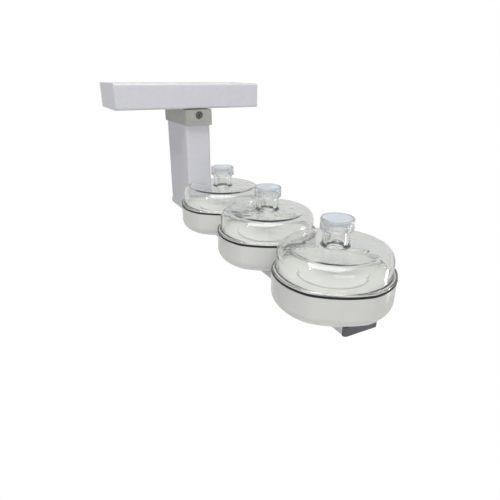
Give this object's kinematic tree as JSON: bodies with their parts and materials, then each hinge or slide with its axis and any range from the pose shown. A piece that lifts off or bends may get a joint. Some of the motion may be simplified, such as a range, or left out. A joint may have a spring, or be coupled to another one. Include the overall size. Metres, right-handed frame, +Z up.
{
  "type": "dental operating light",
  "caption": "Drop-arm light: lamp bowls with flanged clear domes and screw caps stand on a flat arm that swivels under a ceiling rail section.",
  "frame": {"origin": "middle of the four fixing holes in the rail's top face, on the swivel axis", "axes": "+X along the rail, the arm and its heads run along -Y, +Z up out of the rail's top face"},
  "size_m": [0.282, 0.6355, 0.2575],
  "materials": {
    "paint": "smooth satin powder coat, pale lilac-grey",
    "block": "satin beige-grey paint on cast aluminium",
    "paint_plastic": "satin plastic in the paint's colour",
    "dark_plastic": "satin dark grey plastic",
    "steel": "zinc plated steel",
    "black_steel": "black oxide steel",
    "bronze": "turned bronze",
    "washer_plastic": "black bearing plastic",
    "seal": "satin black rubber",
    "driver_case": "plain electronics case",
    "white_plastic": "glossy white moulding",
    "floor": "smooth white sheet",
    "diffuser": "opal diffusing sheet",
    "raw_aluminium": "bare extruded aluminium",
    "board": "white solder mask",
    "clear_glass": "clear thick-walled glass, fire-polished",
    "cap_plastic": "milky, slightly bluish translucent plastic"
  },
  "bodies": {
    "rail": {"rail": "paint", "rail_cover_left": "paint", "rail_cover_right": "paint", "cable_inlet": "seal", "backing_plate": "steel", "plate_screws": "steel", "pivot_spindle": "steel", "thrust_washer": "washer_plastic", "lock_washer": "steel", "lock_nut": "steel"},
    "arm": {"swivel_block": "block", "pivot_bush": "bronze", "column": "paint", "column_screws": "steel", "foot_plate": "steel", "foot_screws": "steel", "light_driver": "driver_case", "arm": "paint", "core_bar": "steel", "arm_rear_plug": "paint_plastic", "arm_end_cap": "dark_plastic", "arm_grommets": "seal", "bowl_screws": "steel", "board_screws": "steel", "bowl_1": "white_plastic", "bowl_2": "white_plastic", "bowl_3": "white_plastic", "gasket_1": "seal", "gasket_2": "seal", "gasket_3": "seal", "heat_sink_1": "raw_aluminium", "heat_sink_2": "raw_aluminium", "heat_sink_3": "raw_aluminium", "light_board_1": "board", "light_board_2": "board", "light_board_3": "board", "floor_plate_1": "floor", "floor_plate_2": "floor", "floor_plate_3": "floor", "diffuser_1": "diffuser", "diffuser_2": "diffuser", "diffuser_3": "diffuser"},
    "clamp_pad": {"clamp_pad": "bronze"},
    "clamp_screw": {"clamp_screw": "black_steel"},
    "dome_1": {"dome_1": "clear_glass"},
    "liner_1": {"liner_1": "floor"},
    "cap_1": {"cap_1": "cap_plastic"},
    "dome_2": {"dome_2": "clear_glass"},
    "liner_2": {"liner_2": "floor"},
    "cap_2": {"cap_2": "cap_plastic"},
    "dome_3": {"dome_3": "clear_glass"},
    "liner_3": {"liner_3": "floor"},
    "cap_3": {"cap_3": "cap_plastic"}
  },
  "joints": [
    {"name": "arm_swivel", "type": "hinge", "parent": "rail", "child": "arm", "pos_m": [0, 0, -0.046], "axis": [0, 0, 1], "range_deg": [-90, 90]},
    {"name": "clamp_travel", "type": "slide", "parent": "arm", "child": "clamp_pad", "axis": [0, -1, 0], "range_m": [0, 0.004]},
    {"name": "clamp_turn", "type": "hinge", "parent": "clamp_pad", "child": "clamp_screw", "pos_m": [0, -0.05, -0.0567], "axis": [0, -1, 0], "range_deg": [0, 1080]},
    {"name": "dome_1_lift", "type": "slide", "parent": "arm", "child": "dome_1", "axis": [0, 0, 1], "range_m": [0, 0.09]},
    {"name": "cap_1_rise", "type": "slide", "parent": "dome_1", "child": "liner_1", "axis": [0, 0, 1], "range_m": [0, 0.00801]},
    {"name": "cap_1_turn", "type": "hinge", "parent": "liner_1", "child": "cap_1", "pos_m": [0, -0.1705, -0.142], "axis": [0, 0, 1], "range_deg": [0, 720]},
    {"name": "dome_2_lift", "type": "slide", "parent": "arm", "child": "dome_2", "axis": [0, 0, 1], "range_m": [0, 0.09]},
    {"name": "cap_2_rise", "type": "slide", "parent": "dome_2", "child": "liner_2", "axis": [0, 0, 1], "range_m": [0, 0.00801]},
    {"name": "cap_2_turn", "type": "hinge", "parent": "liner_2", "child": "cap_2", "pos_m": [0, -0.332, -0.142], "axis": [0, 0, 1], "range_deg": [0, 720]},
    {"name": "dome_3_lift", "type": "slide", "parent": "arm", "child": "dome_3", "axis": [0, 0, 1], "range_m": [0, 0.09]},
    {"name": "cap_3_rise", "type": "slide", "parent": "dome_3", "child": "liner_3", "axis": [0, 0, 1], "range_m": [0, 0.00801]},
    {"name": "cap_3_turn", "type": "hinge", "parent": "liner_3", "child": "cap_3", "pos_m": [0, -0.4935, -0.142], "axis": [0, 0, 1], "range_deg": [0, 720]}
  ],
  "couplings": [
    {"joint": "clamp_travel", "follows": "clamp_turn", "m_per_rad": 0.00019894},
    {"joint": "cap_1_rise", "follows": "cap_1_turn", "m_per_rad": 0.00063662},
    {"joint": "cap_2_rise", "follows": "cap_2_turn", "m_per_rad": 0.00063662},
    {"joint": "cap_3_rise", "follows": "cap_3_turn", "m_per_rad": 0.00063662}
  ]
}
